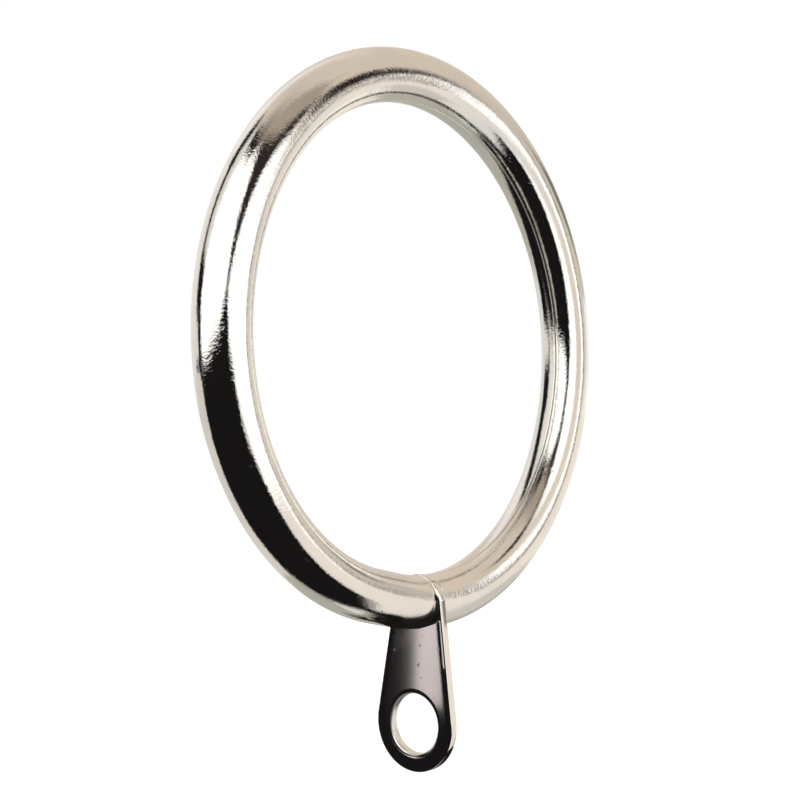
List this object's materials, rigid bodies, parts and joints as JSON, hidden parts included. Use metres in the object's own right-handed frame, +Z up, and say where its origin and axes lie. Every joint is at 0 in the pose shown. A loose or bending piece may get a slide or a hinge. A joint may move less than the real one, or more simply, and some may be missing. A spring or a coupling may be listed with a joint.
{
  "type": "eyelet curtain ring",
  "caption": "Round tubular metal curtain ring with a flat eyelet tab fixed at its foot, to slide on a curtain rod and carry a curtain hook.",
  "frame": {"origin": "centre of the ring, on the axis of the rod that it hangs on", "axes": "+Y along the ring's axis and the rod, +Z up, so the eyelet tab hangs down and the eyelet's axis is X"},
  "size_m": [0.0466, 0.0076, 0.0574],
  "materials": {
    "nickel_plate": "polished"
  },
  "bodies": {
    "root": {"ring_tube": "nickel_plate", "eyelet_tab": "nickel_plate"}
  },
  "joints": []
}
